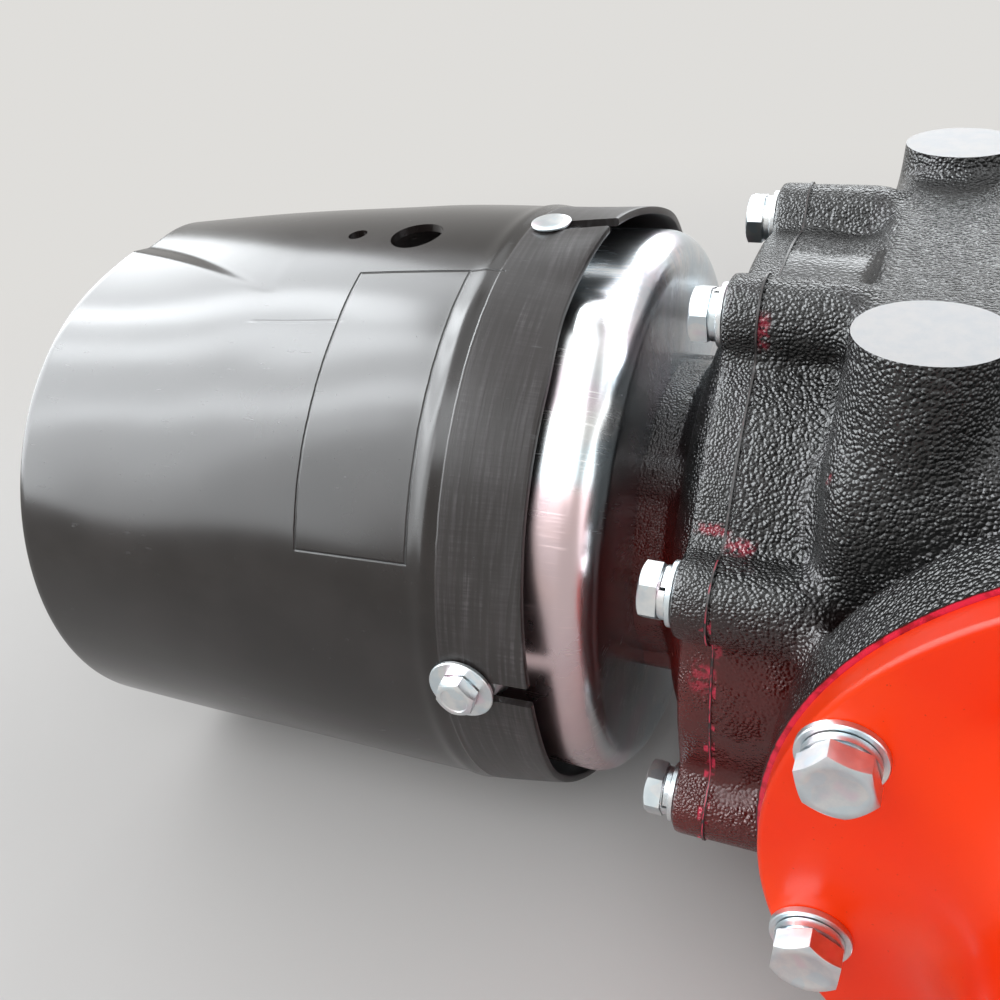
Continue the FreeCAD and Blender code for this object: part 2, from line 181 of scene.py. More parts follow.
class Graph:
    """A node tree and the one way in which nodes are added to it."""

    def __init__(self, tree):
        self.tree = tree

    def node(self, kind, settings=None, values=None, out=0):
        made = self.tree.nodes.new(kind)
        for key, value in (settings or {}).items():
            setattr(made, key, value)
        pairs = values.items() if isinstance(values, dict) else enumerate(values or [])
        for key, value in pairs:
            self.feed(pick(made.inputs, key), value)
        return Wire(self, pick(made.outputs, out))

    def feed(self, socket, value):
        if isinstance(value, Wire):
            self.tree.links.new(value.socket, socket)
        else:
            socket.default_value = value


def pick(sockets, key):
    """A socket by its number, or the one in use that has that name."""
    if isinstance(key, int):
        return sockets[key]
    return next(s for s in sockets if s.name == key and s.enabled)


print("wires and graphs ready")

# %% [markdown]
# A finish is one material. From the point in the object's own space it works out what a
# workshop drawing would use: the distance along the input axis, the distance from it, and the
# turn round it. Only sockets that can be baked to a picture are fed by patterns.

# %% Finishes
DEGREE_ARC = 0.002  # metres round the guard's wall for each degree


def grey(value):
    return (value, value, value, 1.0)


def rgb(r, g, b):
    return (r, g, b, 1.0)


class Finish(Graph):
    """A material with its Principled shader, and the coordinates its patterns use."""

    def __init__(self, name, **constants):
        self.material = bpy.data.materials.new(name)
        self.material.use_nodes = True
        super().__init__(self.material.node_tree)
        self.shader = self.tree.nodes["Principled BSDF"]
        self.set(**constants)
        self.place = self.node("ShaderNodeTexCoord", out="Object")
        self.height = None

    def set(self, **values):
        for key, value in values.items():
            self.feed(pick(self.shader.inputs, key.replace("_", " ")), value)

    def split(self, letter):
        return self.node("ShaderNodeSeparateXYZ", None, {"Vector": self.place}, letter)

    def axis_coordinates(self, lean=(0.0, 0.0), pivot=0.0):
        """Millimetres along the input axis, ahead negative, radius, and turn in degrees. For a
        tube that leans, lean is how far its middle moves in x and z for each step in y."""
        x, y, z = self.split("X") - INPUT_X, self.split("Y") - FRONT_JOINT_Y, self.split("Z")
        x = x - (y - pivot * MM) * lean[0]
        z = z - (y - pivot * MM) * lean[1]
        radius = (x * x + z * z) ** 0.5
        return y / MM, radius / MM, z.math("ARCTAN2", x) * (180 / math.pi)

    def noise(self, size_mm, detail=2.0, roughness=0.5, out=0):
        return self.node("ShaderNodeTexNoise", None, {
            "Vector": self.place, "Scale": 1 / (size_mm * MM), "Detail": detail,
            "Roughness": roughness}, out)

    def streaks(self, place, by_axis, by_turn, scale, detail, distortion=0.0):
        """Noise that runs long along the axis or round it, as scratches do. place is what
        axis_coordinates gives."""
        along, radius, turn_deg = place
        vector = self.node("ShaderNodeCombineXYZ", None, [
            along * MM * by_axis, radius * MM, turn_deg * (DEGREE_ARC * by_turn)])
        return self.node("ShaderNodeTexNoise", None, {
            "Vector": vector, "Scale": scale, "Detail": detail, "Distortion": distortion})

    def mix(self, a, b, factor):
        """Colour a where factor is 0, b where it is 1. A Mix node's colours are sockets 6, 7."""
        return self.node("ShaderNodeMix", {"data_type": "RGBA"}, {0: factor, 6: a, 7: b}, 2)

    def bump(self, height, depth_mm, strength=1.0):
        """Adds a relief of that real depth on top of the ones before."""
        values = {"Strength": strength, "Distance": depth_mm * MM, "Height": height}
        if self.height is not None:
            values["Normal"] = self.height
        self.height = self.node("ShaderNodeBump", None, values, "Normal")

    def done(self, **wires):
        self.set(**wires)
        if self.height is not None:
            self.set(Normal=self.height)
        return self.material


def dress(material, *names):
    """Gives nodes of the construction model their finish."""
    for name in names:
        nodes[name].data.materials.clear()
        nodes[name].data.materials.append(material)
    print("finish", material.name, "on", *names)


print("finish helper ready")

# %% [markdown]
# The casting's paint is black, glossy and thick, over iron that took the grain of its sand
# mould. The grain is what the eye sees first: rounded pebbles that each catch the sky, about
# 1.2 mm across on the housing and finer on the covers. Cells with soft borders give the
# pebbles, a noise bends their outlines so that no two are alike, and a slow noise varies their
# height. Where the paint ran, on top between two ears and here and there below, it is smooth.
# Low down the black is tinted red, a painted reflection of red surroundings, and beside the front joint sealant
# was wiped off.

# %% Black paint on the castings
SEALANT = rgb(0.72, 0.030, 0.085)
WIPES = [  # along and turn of each wipe, and how far it reaches in mm and degrees
    (1.5, 62.5, 2.8, 2.0), (4.5, 30.8, 6.0, 1.6), (-4.5, 32.8, 7.0, 1.3), (28.5, 41.0, 1.2, 0.8),
    (1.2, 14.0, 1.8, 3.4), (-4.0, 8.0, 5.0, 4.0), (2.0, -39.0, 3.0, 3.0),
]


def cast_finish(name, pebble_mm, depth_mm):
    f = Finish(name, IOR=1.5)
    along, radius, turn_deg = f.axis_coordinates()
    bent = f.node("ShaderNodeVectorMath", {"operation": "MULTIPLY_ADD"}, [
        f.noise(2.2, 1.0, out="Color"), (pebble_mm * 0.5 * MM,) * 3, f.place])
    cells = f.node("ShaderNodeTexVoronoi", {"feature": "SMOOTH_F1"}, {
        "Vector": bent, "Scale": 1 / (pebble_mm * MM), "Smoothness": 0.22})
    low = 1 - f.split("Z").over(0.012, 0.058)
    ran = f.noise(17.0).over(0.42, 0.60) * turn_deg.inside(-60.0, 19.0, 5.0) * low
    calm = (along.inside(1.0, 30.0, 2.0) * turn_deg.inside(77.5, 88.0, 4.0)).math("MAXIMUM", ran)
    tall = (0.45 + f.noise(5.0)) * (1 - calm * 0.80)
    f.bump(f.noise(12.0), 0.6, 0.6)
    f.bump((1 - cells) * tall, depth_mm)
    f.bump(f.noise(0.5) * (1 - calm * 0.8), 0.05, 0.6)
    shade = f.mix(grey(0.006), grey(0.013), f.noise(9.0, 4.0).over(0.35, 0.7))
    # painted reflection: low down the black is tinted red, standing in for red surroundings mirrored in the paint
    shade = f.mix(shade, rgb(0.130, 0.006, 0.004), low * (0.35 + f.noise(24.0, 3.0) * 0.7))
    wiped = 0.0
    for place, turn, reach, reach_deg in WIPES:
        wiped = along.near(place, reach) * turn_deg.near(turn, reach_deg) * 1.6 + wiped
    wiped = wiped * (radius / 100.0).over(1.04, 1.10) * f.noise(2.0, 4.0).over(0.36, 0.66)
    squeezed = along.inside(-2.2, 1.0, 0.4) * turn_deg.inside(-78.0, 21.0, 4.0)
    squeezed = squeezed * f.noise(7.0, 3.0).over(0.50, 0.62) * 0.9
    wiped = (wiped * (0.1 + cells * 0.9)).math("MINIMUM", 0.34).math("MAXIMUM", squeezed)
    shade = f.mix(shade, SEALANT, wiped)
    return f.done(Base_Color=shade, Roughness=0.19 + f.noise(3.0, 3.0) * 0.12)


CAST = cast_finish("cast_black_paint", 1.20, 0.74)
CAST_FINE = cast_finish("cast_black_paint_fine", 0.90, 0.52)
dress(CAST, "housing")
dress(CAST_FINE, "front_cover", "rear_cover")

# %% [markdown]
# The guard is moulded polyethylene, black and glossy, with the marks of handling: scratches,
# dust, and near its rear rim a band that was left dull and brushed. A blank panel on its flank
# is let in with a thin groove all round. All of these are drawn in the turn round the tube and
# the distance along it. The tube leans a little on its fixings, and its coordinates with it.

# %% Black plastic of the guard
GUARD_LEAN = (-0.043, 0.030)
GUARD_FIX_Y = -84.0
BAND_LINE_Y = -91.5
PANEL_ALONG = (-147.2, -103.2)
PANEL_TURN = (20.9, 71.6)


def plastic_finish():
    f = Finish("guard_black_plastic", IOR=1.5)
    along, radius, turn_deg = place = f.axis_coordinates(GUARD_LEAN, GUARD_FIX_Y)
    side = along + (f.noise(7.0) * 0.5 - 0.25)
    in_turn = turn_deg.inside(*PANEL_TURN, 0.25)
    in_along = side.inside(*PANEL_ALONG, 0.5)
    ends = side.near(PANEL_ALONG[0], 0.7).math("MAXIMUM", side.near(PANEL_ALONG[1], 0.7))
    long_side = along.inside(PANEL_ALONG[0], BAND_LINE_Y + 1.0, 0.5)
    cross = turn_deg.near(PANEL_TURN[1], 0.32) * long_side
    cross = cross.math("MAXIMUM", turn_deg.near(PANEL_TURN[0], 0.32) * in_along)
    groove = (in_turn * ends).math("MAXIMUM", cross)
    band = along.over(BAND_LINE_Y - 0.6, BAND_LINE_Y + 0.6)
    line = side.near(BAND_LINE_Y, 0.6)
    hoops = f.streaks(place, 5.0, 0.25, 150.0, 5.0)
    strokes = f.streaks(place, 0.5, 9.0, 150.0, 4.0)
    brushed = hoops * 0.75 + strokes * 0.25
    slanted = f.streaks((along + turn_deg * 0.35, radius, turn_deg), 1.2, 6.0, 90.0, 2.0, 0.4)
    scratch = slanted.over(0.68, 0.73) * f.noise(60.0).over(0.5, 0.62)
    dust = f.noise(1.6).over(0.72, 0.80)
    clouds = f.noise(34.0, 4.0, 0.6)
    scuffed = band * f.noise(16.0, 3.0).over(0.40, 0.68)
    f.bump(f.noise(45.0), 0.35, 0.35)
    f.bump(1 - in_turn * in_along, 0.25)
    f.bump(1 - groove, 0.45)
    f.bump(line, 0.08)
    f.bump(1 - turn_deg.near(60.9, 0.45) * along.inside(-181.0, -151.0, 8.0), 0.14)
    f.bump(brushed * band, 0.12, 0.9)
    f.bump(scratch, 0.02, 0.5)
    black = f.mix(rgb(0.012, 0.009, 0.008), rgb(0.020, 0.016, 0.015), clouds.over(0.35, 0.7))
    worn = f.mix(black, rgb(0.040, 0.034, 0.036), band * brushed.over(0.42, 0.66) * 0.7)
    pale = scuffed * brushed.over(0.54, 0.72) * 0.5 + line * 0.2
    worn = f.mix(worn, rgb(0.12, 0.112, 0.115), pale)
    marked = f.mix(worn, rgb(0.10, 0.10, 0.105), scratch * 0.4 + dust * 0.3)
    # painted shade: the groove is coloured darker than the plastic, as shade in the recess
    marked = f.mix(marked, grey(0.002), groove * 0.85)
    rough = 0.17 + clouds * 0.07 + band * 0.20 + scratch * 0.1 + groove * 0.3
    return f.done(Base_Color=marked, Roughness=rough)


PLASTIC = plastic_finish()
dress(PLASTIC, "guard_tube")

# %% [markdown]
# Zinc plate is a thin bright metal over steel. Its passivation leaves faint clouds of pink,
# straw and blue, and drawing the cup over its die leaves fine marks that run along the axis.
# The fastenings share the metal but were plated in a barrel, so they have no direction.

# %% Zinc plate
def zinc_finish(name, drawn):
    f = Finish(name, Metallic=1.0)
    along, _, turn_deg = place = f.axis_coordinates()
    clouds = f.noise(26.0 if drawn else 7.0, 3.0, 0.6)
    tint = f.noise(40.0 if drawn else 9.0, 1.0)
    base = f.mix(rgb(0.58, 0.62, 0.65), rgb(0.73, 0.73, 0.72), clouds.over(0.3, 0.7))
    base = f.mix(base, rgb(0.72, 0.56, 0.63), tint.over(0.56, 0.72) * 0.55)
    base = f.mix(base, rgb(0.56, 0.67, 0.72), tint.inside(0.30, 0.42, 0.05) * 0.5)
    if drawn:
        lines = f.streaks(place, 0.4, 14.0, 110.0, 4.0)
        scuff = lines.over(0.58, 0.70) * f.noise(18.0).over(0.48, 0.62)
        slant = turn_deg + (along + 56.0) * -0.55
        hook = along.inside(-60.5, -56.0, 0.6) * slant.near(57.5, 0.8)
        dash = turn_deg.near(50.9, 0.35) + turn_deg.near(47.6, 0.3)
        dash = along.inside(-59.5, -51.0, 0.5) * dash
        f.bump(f.noise(26.0), 0.5, 0.5)
        f.bump(lines, 0.03, 0.7)
        f.bump(hook.math("MAXIMUM", dash), 0.5, -1.0)
        dull = turn_deg.inside(-40.0, 34.0, 5.0) * along.inside(-100.0, -46.0, 3.0)
        rough = 0.20 + clouds * 0.08 + scuff * 0.10 + dull * 0.04
        base = f.mix(base, rgb(0.86, 0.85, 0.84), scuff * 0.7)
        blue = lines.over(0.42, 0.58) * turn_deg.over(62.0, 76.0) * 0.55
        base = f.mix(base, rgb(0.42, 0.50, 0.58), blue)
        # painted reflection: on the lower flank the zinc is tinted pink, standing in for red surroundings mirrored
        # in it
        base = f.mix(base, rgb(0.60, 0.37, 0.38), dull * 0.65)
    else:
        f.bump(f.noise(0.8, 3.0), 0.03, 0.5)
        rough = 0.24 + clouds * 0.16
    return f.done(Base_Color=base, Roughness=rough)


ZINC_CUP = zinc_finish("zinc_drawn_cup", True)
ZINC = zinc_finish("zinc_fastenings", False)
dress(ZINC_CUP, "guard_cup")
dress(ZINC, "filler_plug", "level_plug", "drain_plug")

# %% [markdown]
# The hubs are sprayed a bright orange that stays glossy. Paint looks deep because it shines
# twice, from a clear top film and from the colour below, which the shader's coat layer copies.
# Spray never levels out quite flat, so a very slow, shallow relief bends the reflections.

# %% Orange paint
def orange_finish():
    f = Finish("hub_orange_paint", Coat_Weight=0.12, Coat_Roughness=0.2, Specular_IOR_Level=0.15)
    f.bump(f.noise(5.0), 0.05, 0.35)
    f.bump(f.noise(30.0), 0.3, 0.25)
    specks = f.noise(1.3, 1.0).over(0.76, 0.80)
    clouds = f.noise(60.0).over(0.4, 0.6)
    base = f.mix(rgb(0.97, 0.038, 0.001), rgb(1.00, 0.050, 0.001), clouds)
    base = f.mix(base, rgb(0.25, 0.03, 0.01), specks * 0.35)
    return f.done(Base_Color=base, Roughness=0.28 + f.noise(22.0, 3.0) * 0.08)


ORANGE = orange_finish()
dress(ORANGE, "left_hub", "right_hub")

# %% [markdown]
# Three finishes are left: the machined steel of the shafts, the dull rubber of the lip seals,
# and the dark edge of the gaskets. Turned steel carries fine rings round its axis, and oil
# darkens it in places.

# %% Steel, rubber and gasket
def steel_finish():
    f = Finish("machined_steel", Metallic=1.0)
    rings = f.streaks(f.axis_coordinates(), 8.0, 0.2, 260.0, 3.0)
    oil = f.noise(14.0, 4.0).over(0.42, 0.68)
    f.bump(rings, 0.02, 0.6)
    base = f.mix(grey(0.52), rgb(0.20, 0.18, 0.15), oil * 0.8)
    return f.done(Base_Color=base, Roughness=0.26 + rings * 0.12 + oil * 0.1)


def gasket_finish():
    f = Finish("gasket_with_sealant")
    along, _, turn_deg = f.axis_coordinates()
    clouds = f.noise(2.0, 3.0)
    red = turn_deg.inside(-75.0, 20.0, 4.0) * f.noise(5.0, 3.0).over(0.38, 0.52)
    red = red.math("MAXIMUM", f.noise(13.0, 1.0).over(0.66, 0.70) * 0.6)
    f.bump(clouds, 0.15, 0.6)
    middle = (along + clouds * 0.3 - 0.15).near(-0.4, 0.32)
    paper = f.mix(rgb(0.035, 0.030, 0.030), rgb(0.085, 0.060, 0.060), clouds.over(0.35, 0.7))
    base = f.mix(f.mix(grey(0.003), paper, middle), SEALANT, red * middle)
    return f.done(Base_Color=base, Roughness=0.34 + clouds * 0.1)


def rubber_finish():
    f = Finish("seal_rubber_dull")
    clouds = f.noise(3.0, 3.0)
    f.bump(clouds, 0.08, 0.5)
    base = f.mix(grey(0.012), grey(0.03), clouds.over(0.35, 0.7))
    return f.done(Base_Color=base, Roughness=0.5 + clouds * 0.1)


dress(steel_finish(), "input_shaft", "output_shaft")
dress(rubber_finish(), "input_seal", "left_output_seal", "right_output_seal")
dress(gasket_finish(), "front_gasket", "rear_gasket")

# %% [markdown]
# Black gloss shows its surroundings more than itself, so the studio matters as much as the
# paint. Lamps as bright as the sky that such gloss mirrors would wash out the colours. So they
# come in two sets: soft ones that light the paint at a plain level, and panels that only gloss
# and metal see. Each is given as a patch of sky: where it is, how wide it looks from the
# gearbox, and how bright it is. Near the gearbox the floor is a pale paint that takes the
# shadow. Further out the camera and the reflections see one plain pale tone instead.

# %% Floor and light
FLOOR_Z = cad_low.z
FLOOR_HALF = 6.0
FADE_FROM, FADE_TO = 0.35, 1.0
WORLD_LIGHT = 0.34
BACKDROP = 0.74
BACKDROP_TONE = rgb(1.0, 0.985, 0.955)
LAMP_DISTANCE = 1.7
LAMPS = {
    # name: azimuth from +X towards +Y, elevation, width and height in degrees, brightness
    "front_light": (-80, 46, 80, 40, 1.3),
    "left_light": (12, 42, 60, 44, 1.7),
    "rear_light": (150, 48, 80, 36, 1.0),
}
SHINE = {
    "front_shine": (-80, 31, 40, 54, 9.0),
    "far_shine": (-113, 31, 26, 54, 6.3),
    "strip_shine": (-82, 47, 7, 22, 6.0),
    "near_shine": (-54, 28, 12, 46, 7.0),
    "side_shine": (-39, 24, 18, 38, 4.0),
    "high_shine": (-60, 66, 100, 30, 1.25),
    "left_shine": (-20, 48, 26, 22, 3.5),
    "right_shine": (178, 22, 38, 20, 5.0),
    "rear_shine": (78, 24, 66, 40, 1.9),
    "top_shine": (150, 62, 70, 44, 1.6),
}
SHINE_TONE = (0.93, 0.97, 1.0)


def seen_by_rays(g):
    """1 for the camera's rays and for reflected or refracted ones, 0 for light on the object."""
    seen = g.node("ShaderNodeLightPath", out="Is Camera Ray")
    for kind in ("Is Glossy Ray", "Is Transmission Ray"):
        seen = seen.math("MAXIMUM", g.node("ShaderNodeLightPath", out=kind))
    return seen


def make_floor():
    mesh = bpy.data.meshes.new("studio_floor")
    signs = ((-1, -1), (1, -1), (1, 1), (-1, 1))
    corners = [(sx * FLOOR_HALF, sy * FLOOR_HALF, FLOOR_Z) for sx, sy in signs]
    mesh.from_pydata(corners, [], [(0, 1, 2, 3)])
    floor = new_piece("studio_floor", mesh)
    f = Finish("studio_floor_paint", Specular_IOR_Level=0.1)
    tone = f.mix(grey(0.66), grey(0.70), f.noise(300.0, 3.0))
    mesh.materials.append(f.done(Base_Color=tone, Roughness=0.9 + f.noise(90.0) * 0.05))
    x, y = f.split("X") - AXIS_POINT.x, f.split("Y") - AXIS_POINT.y
    far = ((x * x + y * y) ** 0.5).over(FADE_FROM, FADE_TO)
    plain = f.node("ShaderNodeEmission", None, {"Color": BACKDROP_TONE, "Strength": BACKDROP})
    either = f.node("ShaderNodeMixShader", None, {
        0: far * seen_by_rays(f), 1: Wire(f, f.shader.outputs[0]), 2: plain})
    f.feed(f.tree.nodes["Material Output"].inputs["Surface"], either)


def make_world():
    world = bpy.data.worlds.new("studio")
    world.use_nodes = True
    g = Graph(world.node_tree)
    background = world.node_tree.nodes["Background"]
    background.inputs["Color"].default_value = BACKDROP_TONE
    strength = seen_by_rays(g) * (BACKDROP - WORLD_LIGHT) + WORLD_LIGHT
    g.feed(background.inputs["Strength"], strength)
    bpy.context.scene.world = world


def add_lamp(name, patch, shine):
    """An area lamp that fills a patch of sky, seen from the middle of the gearbox. It lights
    paint, or it is only seen by gloss and metal."""
    azimuth, elevation, width, height, brightness = patch
    a, e = math.radians(azimuth), math.radians(elevation)
    way = Vector((math.cos(e) * math.cos(a), math.cos(e) * math.sin(a), math.sin(e)))
    sides = [2 * LAMP_DISTANCE * math.tan(math.radians(v) / 2) for v in (width, height)]
    data = bpy.data.lights.new(name, "AREA")
    data.shape = "RECTANGLE"
    data.size, data.size_y = sides
    data.energy = brightness * math.pi * sides[0] * sides[1]
    lamp = new_piece(name, data)
    lamp.location = AXIS_POINT + way * LAMP_DISTANCE
    lamp.rotation_euler = way.to_track_quat("Z", "Y").to_euler()
    lamp.visible_diffuse = not shine
    lamp.visible_glossy = shine
    if shine:
        data.color = SHINE_TONE
    print("lamp", name, "watts", round(data.energy, 1))


make_floor()
make_world()
for name, patch in (LAMPS | SHINE).items():
    add_lamp(name, patch, name in SHINE)
bpy.context.scene.view_settings.view_transform = "Standard"
print("floor at", round(FLOOR_Z, 4))

# %% [markdown]
# A sand casting has no sharp inside corner: where two forms meet, the pattern maker puts wax
# in the corner, and the metal follows. Bevels on each corner of the model would fight where
# they meet. So a copy of the casting is rebuilt from small voxels and then relaxed, which
# melts all its corners alike. The machined faces have to stay flat and sharp. They are first
# drawn out past their place, and at the end cut back to it.

# %% Helpers for meshes
CUT_SPARE = 6.0 * MM
NEAR = 2e-5
FLAT = 0.999  # how far a normal points one way on a machined face


@contextmanager
def edited(mesh):
    """The mesh opened for editing, and written back at the end."""
    bm = bmesh.new()
    bm.from_mesh(mesh)
    yield bm
    bm.to_mesh(mesh)
    bm.free()


def finished(piece):
    """Turns a piece with modifiers into one with a plain mesh."""
    depsgraph = bpy.context.evaluated_depsgraph_get()
    mesh = bpy.data.meshes.new_from_object(piece.evaluated_get(depsgraph))
    piece.modifiers.clear()
    piece.data = mesh
    return piece


def points_of(mesh):
    flat = np.empty(len(mesh.vertices) * 3, np.float32)
    mesh.vertices.foreach_get("co", flat)
    return flat.reshape(-1, 3).astype(float)


def set_points(mesh, points):
    mesh.vertices.foreach_set("co", points.astype(np.float32).ravel())
    mesh.update()


def sharpen(bm, degrees):
    """Smooth shading everywhere but over edges that turn more than that."""
    limit = math.radians(degrees)
    for face in bm.faces:
        face.smooth = True
    for edge in bm.edges:
        if len(edge.link_faces) == 2:
            edge.smooth = edge.calc_face_angle(0.0) < limit


def bridge(bm, low, high):
    """Quads between two rows of as many vertices, closed end to end."""
    for k in range(len(low)):
        n = (k + 1) % len(low)
        bm.faces.new((low[k], low[n], high[n], high[k]))


def add_bar(bm, rows):
    """A closed bar through rows of vertices, with both ends filled."""
    for low, high in zip(rows, rows[1:]):
        bridge(bm, low, high)
    bm.faces.new(rows[0][::-1])
    bm.faces.new(rows[-1])


def relax(mesh, rounds):
    """Moves each vertex halfway to the middle of its neighbours, a number of times."""
    pairs = np.empty(len(mesh.edges) * 2, np.int32)
    mesh.edges.foreach_get("vertices", pairs)
    a, b = pairs[0::2], pairs[1::2]
    points = points_of(mesh)
    count = np.bincount(pairs, minlength=len(points))[:, None]
    for _ in range(rounds):
        total = np.zeros_like(points)
        for k in range(3):
            total[:, k] = (np.bincount(a, points[b, k], len(points))
                           + np.bincount(b, points[a, k], len(points)))
        points += 0.5 * (total / count - points)
    set_points(mesh, points)


print("mesh helpers ready")

# %% Soft castings
SHAFT_BORE_R = 25.05
SHAFT_BORE_OPEN_R = 27.0
SHAFT_AXES = (0, 1)
PAD_Z = next(m["pos_m"][2] for m in frame["record"]["mounts"] if m["name"].endswith("_pad"))
RIGHT_FACE_X, LEFT_FACE_X = (corner.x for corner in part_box("housing"))


def soft_casting(name, node, voxel_mm, rounds, machined, bores):
    """The node's casting with melted corners. machined lists flat faces as (axis, place, side);
    bores lists the axes of shaft bores, which are opened for clearance."""
    mesh = nodes[node].data.copy()
    middle = (INPUT_X, CROSS_Y, 0.0)
    with edited(mesh) as bm:
        bmesh.ops.remove_doubles(bm, verts=bm.verts, dist=NEAR)
        for axis in bores:
            for v in bm.verts:
                off = [v.co[k] - middle[k] for k in range(3)]
                off[axis] = 0.0
                r = math.hypot(*off)
                if abs(r - SHAFT_BORE_R * MM) < 0.1 * MM:
                    v.co += Vector(off) * (SHAFT_BORE_OPEN_R * MM / r - 1)
        for axis, place, side in machined:
            for v in bm.verts:
                if abs(v.co[axis] - place) < NEAR:
                    v.co[axis] = place + side * CUT_SPARE
    mesh.materials.clear()
    piece = new_piece(name, mesh)
    remesh = piece.modifiers.new("voxels", "REMESH")
    remesh.mode = "VOXEL"
    remesh.voxel_size = voxel_mm * MM
    finished(piece)
    relax(piece.data, rounds)
    with edited(piece.data) as bm:
        for axis, place, side in machined:
            spot, way = Vector(), Vector()
            spot[axis], way[axis] = place, side
            everything = bm.verts[:] + bm.edges[:] + bm.faces[:]
            cut = bmesh.ops.bisect_plane(bm, geom=everything, dist=1e-7, plane_co=spot,
                                         plane_no=way, clear_outer=True)
            rim = [e for e in cut["geom_cut"] if isinstance(e, bmesh.types.BMEdge)]
            bmesh.ops.triangle_fill(bm, edges=rim, use_beauty=True, use_dissolve=False,
                                    normal=way)
        sharpen(bm, 50)
    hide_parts(node)
    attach(piece, "gearbox")
    print(name, "faces", len(piece.data.polygons))
    return piece


housing_cast = soft_casting("housing_casting", "housing", 2.2, 9, [
    (1, FRONT_JOINT_Y, -1), (1, REAR_JOINT_Y, 1), (0, LEFT_FACE_X, 1), (0, RIGHT_FACE_X, -1),
    (2, PAD_Z, 1)], SHAFT_AXES)
cover_cast = soft_casting("front_cover_casting", "front_cover", 1.5, 3, [
    (1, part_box("front_cover")[1].y, 1), (1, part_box("front_cover")[0].y, -1)], SHAFT_AXES)
rear_cast = soft_casting("rear_cover_casting", "rear_cover", 1.8, 6, [
    (1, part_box("rear_cover")[0].y, -1)], ())

# %% [markdown]
# Two places differ from the black. The pads on top were ground flat after painting and show
# bare metal, and the rim of the side flange that the hub leaves uncovered took the red of the
# primer. Both are flat machined faces, so each gets its own material by its place.

# %% Bare pads and the flange's red rim
PRIMER_R = 114.0


def pad_finish():
    f = Finish("pad_bare_iron", Specular_IOR_Level=0.3)
    marks = f.noise(9.0, 4.0, 0.65)
    fine = f.noise(0.7)
    f.bump(f.noise(2.5, 3.0), 0.04, 0.5)
    base = f.mix(rgb(0.47, 0.49, 0.52), rgb(0.54, 0.54, 0.55), marks.over(0.3, 0.68))
    base = f.mix(base, rgb(0.36, 0.36, 0.35), fine.over(0.68, 0.76) * 0.3)
    return f.done(Base_Color=base, Roughness=0.42 + marks * 0.14)


def primer_finish():
    f = Finish("flange_red_primer")
    y, z = f.split("Y") - CROSS_Y, f.split("Z")
    patches = f.noise(4.0, 4.0)
    rim = ((y * y + z * z) ** 0.5 / MM + patches * 0.6).over(PRIMER_R, PRIMER_R + 0.5)
    f.bump(patches, 0.15, 0.6)
    base = f.mix(SEALANT, rgb(0.40, 0.012, 0.030), patches.over(0.48, 0.66))
    return f.done(Base_Color=f.mix(base, grey(0.008), rim), Roughness=0.38)


BARE, PRIMER = pad_finish(), primer_finish()
for finish in (CAST, BARE, PRIMER):
    housing_cast.data.materials.append(finish)
for cover in (cover_cast, rear_cast):
    cover.data.materials.append(CAST_FINE)
bare_faces = 0
for face in housing_cast.data.polygons:
    from_side = abs(face.center.x - INPUT_X) - (LEFT_FACE_X - INPUT_X)
    if face.normal.z > FLAT and abs(face.center.z - PAD_Z) < NEAR:
        face.material_index = 1
        bare_faces += 1
    elif abs(face.normal.x) > FLAT and abs(from_side) < NEAR:
        face.material_index = 2
print("bare faces", bare_faces)

# %% [markdown]
# The guard's shape follows a rule: a wall carried round an axis. Its skin is laid out as
# rings, outside and back along the inside, close together where detail is. The slots and holes
# are cut while it is still a plain cone, because a boolean cut likes simple shapes. Then one
# function moves every point: the fold at the free end, the flaps that the slots set free, the
# slow dents of thin plastic, and last the lean on its fixings.

# %% Skins of revolution
GUARD_TURNS = np.concatenate([np.arange(60.0, 98.0, 0.4), np.arange(98.0, 419.5, 1.0)])


def even_turns(steps):
    return np.arange(steps) * (360.0 / steps)


def revolved(name, rings, turns):
    """A mesh through rings of (radius, y) in mm round the input axis, closed end to end."""
    turn, steps = np.radians(turns), len(turns)
    radius = np.array([r for r, _ in rings])[:, None]
    along = np.array([y for _, y in rings])[:, None]
    points = np.stack([radius * np.cos(turn), along + 0 * turn, radius * np.sin(turn)], -1)
    count = len(rings)
    low = np.arange(count)[:, None] * steps
    high = (low + steps) % (count * steps)
    here, after = np.arange(steps), (np.arange(steps) + 1) % steps
    quads = np.stack([low + here, low + after, high + after, high + here], -1).reshape(-1, 4)
    mesh = bpy.data.meshes.new(name)
    mesh.from_pydata(points.reshape(-1, 3).tolist(), [], quads.tolist())
    return mesh


def arc(middle, radius, first, last, steps):
    """Points of an arc in the (radius, y) plane, turns in degrees from the radius' direction."""
    turns = np.radians(np.linspace(first, last, steps + 1))
    return [(middle[0] + radius * math.cos(t), middle[1] + radius * math.sin(t)) for t in turns]


def smooth(value, low, high):
    """Numpy's own soft step, as over() is for wires."""
    t = np.clip((value - low) / (high - low), 0, 1)
    return t * t * (3 - 2 * t)


def bell(value, middle, reach):
    return np.exp(-((value - middle) / reach) ** 2)


def to_turns(points):
    """Radius, y and turn in degrees of points round the input axis."""
    x, y, z = points.T
    return np.hypot(x, z), y, np.degrees(np.arctan2(z, x))


def from_turns(radius, y, turn):
    t = np.radians(turn)
    return np.stack([radius * np.cos(t), y, radius * np.sin(t)], -1)


